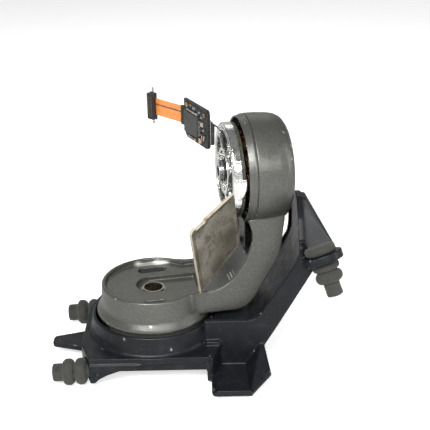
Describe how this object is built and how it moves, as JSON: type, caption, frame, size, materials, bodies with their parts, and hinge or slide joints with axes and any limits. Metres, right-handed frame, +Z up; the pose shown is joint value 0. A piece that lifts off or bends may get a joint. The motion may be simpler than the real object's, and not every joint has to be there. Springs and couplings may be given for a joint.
{
  "type": "camera gimbal",
  "caption": "Rubber-damped cast bracket carrying a yaw motor arm, a roll motor with a bare spoked hub, and a hanging flexible driver board with its ribbon connector.",
  "frame": {"origin": "the yaw axis, level with the top face of the bracket's base plate", "axes": "+X towards the tail of the bracket where the tower stands, +Y to the left, +Z up the yaw axis through the open shaft bore; the arm rests turned 10.5 degrees about +Z"},
  "size_m": [0.0818, 0.0561, 0.0717],
  "materials": {
    "bracket_cast": "black satin paint",
    "damper_rubber": "matt",
    "core_steel": "satin",
    "copper_wire": "enamelled",
    "bearing_steel": "polished",
    "spring_steel": "blackened",
    "sensor_board": "solder mask",
    "coil_board": "solder mask",
    "arm_metal": "satin metallic paint",
    "shaft_metal": "machined",
    "magnet_plate": "nickel plated",
    "plate_laminate": "adhesive residue",
    "black_film": "satin",
    "hub_metal": "machined",
    "board_black": "solder mask",
    "chip_resin": "satin",
    "component_mix": "mixed",
    "gold_pad": "plated",
    "orange_film": "glossy film",
    "connector_black": "moulded"
  },
  "bodies": {
    "bracket": {"mount_bracket": "bracket_cast", "damper_nose_left": "damper_rubber", "damper_nose_right": "damper_rubber", "damper_tail": "damper_rubber", "yaw_stator_core": "core_steel", "yaw_coils": "copper_wire", "yaw_lower_bearing_outer": "bearing_steel", "yaw_upper_bearing_outer": "bearing_steel", "yaw_lower_bearing_balls": "bearing_steel", "yaw_upper_bearing_balls": "bearing_steel", "yaw_sensor_board": "sensor_board", "yaw_stop_pin": "bearing_steel"},
    "arm": {"yaw_arm": "arm_metal", "yaw_shaft": "shaft_metal", "yaw_rotor_ring": "core_steel", "yaw_magnets": "magnet_plate", "yaw_lower_bearing_inner": "bearing_steel", "yaw_upper_bearing_inner": "bearing_steel", "yaw_retaining_ring": "spring_steel", "roll_front_ring": "arm_metal", "roll_shaft": "bearing_steel", "roll_shaft_collar": "bearing_steel", "roll_rotor_ring": "core_steel", "roll_magnets": "magnet_plate", "roll_front_bearing_inner": "bearing_steel", "roll_rear_bearing_inner": "bearing_steel", "shield_plate": "plate_laminate", "arm_flex": "black_film"},
    "hub": {"roll_hub": "hub_metal", "roll_stator_core": "core_steel", "roll_coils": "copper_wire", "roll_coil_board": "coil_board", "roll_front_bearing_outer": "bearing_steel", "roll_rear_bearing_outer": "bearing_steel", "roll_front_bearing_balls": "bearing_steel", "roll_rear_bearing_balls": "bearing_steel", "cable_lug": "hub_metal", "lead_hub_end": "black_film"},
    "board": {"lead_board_end": "black_film", "driver_board": "board_black", "driver_chip": "chip_resin", "board_components": "component_mix", "board_pads": "gold_pad", "ribbon_stiffener": "black_film", "ribbon_board_end": "orange_film"},
    "connector": {"ribbon_connector_end": "orange_film", "connector_backer": "black_film", "connector_housing": "connector_black", "connector_contacts": "gold_pad", "connector_brackets": "bearing_steel"}
  },
  "joints": [
    {"name": "yaw_turn", "type": "hinge", "parent": "bracket", "child": "arm", "pos_m": [0, 0, 0], "axis": [0, 0, 1], "range_deg": [-37.5, 16.5]},
    {"name": "roll_turn", "type": "hinge", "parent": "arm", "child": "hub", "pos_m": [0.02065, 0.00383, 0.0458], "axis": [0.9833, 0.1822, 0], "range_deg": [-45, 45]},
    {"name": "board_swing", "type": "hinge", "parent": "hub", "child": "board", "pos_m": [0.01819, 0.00449, 0.055], "axis": [0, 0, 1], "range_deg": [-15, 15]},
    {"name": "connector_swing", "type": "hinge", "parent": "board", "child": "connector", "pos_m": [0.00529, 0.02339, 0.0574], "axis": [0, 0, 1], "range_deg": [-30, 30]}
  ]
}
